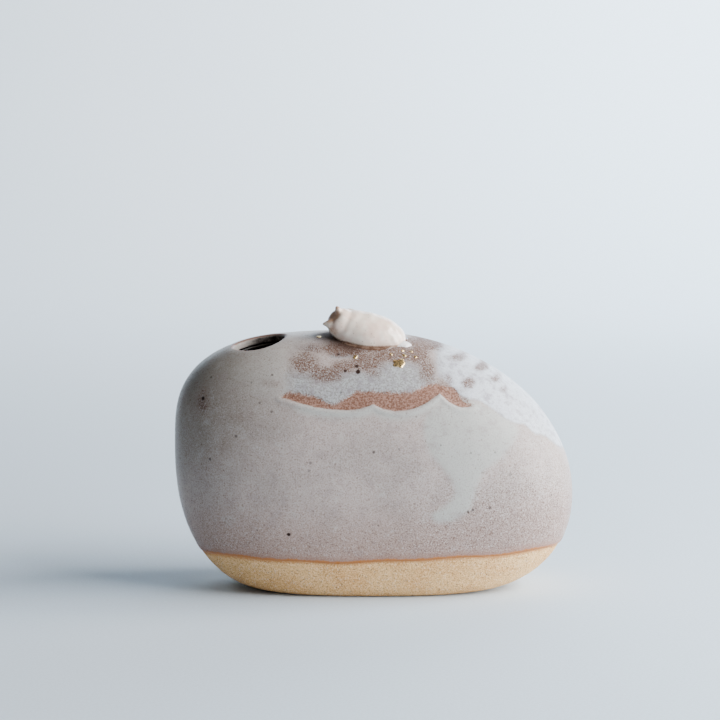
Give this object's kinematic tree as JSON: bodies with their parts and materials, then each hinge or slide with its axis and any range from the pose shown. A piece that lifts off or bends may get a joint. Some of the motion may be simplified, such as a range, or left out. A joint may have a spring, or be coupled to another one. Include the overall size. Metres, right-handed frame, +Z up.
{
  "type": "bud vase",
  "caption": "Pebble-shaped stoneware bud vase with a small oval mouth on its shoulder and a porcelain animal lying on its crown.",
  "frame": {"origin": "middle of the object's box on the ground plane", "axes": "+Z up, +X along the pebble's long axis towards its tapered end and away from the mouth, -Y towards the viewer"},
  "size_m": [0.1249, 0.0601, 0.0918],
  "materials": {
    "stoneware_clay": "bare, sandy, warm tan stoneware with grog and fine pits",
    "speckled_glaze": "satin warm grey-lavender glaze, thickly speckled with fine brown and a few black specks, rusty at its lower edge",
    "white_glaze": "satin bluish-white overglaze, mottled brown where thin",
    "liner_glaze": "satin grey glaze inside",
    "bond_glaze": "glossy brownish melted glaze round the foot of the animal",
    "porcelain": "glossy pinkish-white porcelain",
    "gold": "bright ragged flecks of gold"
  },
  "bodies": {
    "root": {"lower_half": "stoneware_clay", "upper_half": "stoneware_clay", "outer_glaze": "speckled_glaze", "white_overglaze": "white_glaze", "liner_glaze": "liner_glaze", "figure_bond": "bond_glaze", "animal_body": "porcelain", "animal_head": "porcelain", "animal_ear_front": "porcelain", "animal_ear_back": "porcelain", "animal_tail": "porcelain", "gold_fleck_1": "gold", "gold_fleck_2": "gold", "gold_fleck_3": "gold", "gold_fleck_4": "gold", "gold_fleck_5": "gold", "gold_fleck_6": "gold", "gold_fleck_7": "gold", "gold_fleck_8": "gold"}
  },
  "joints": []
}
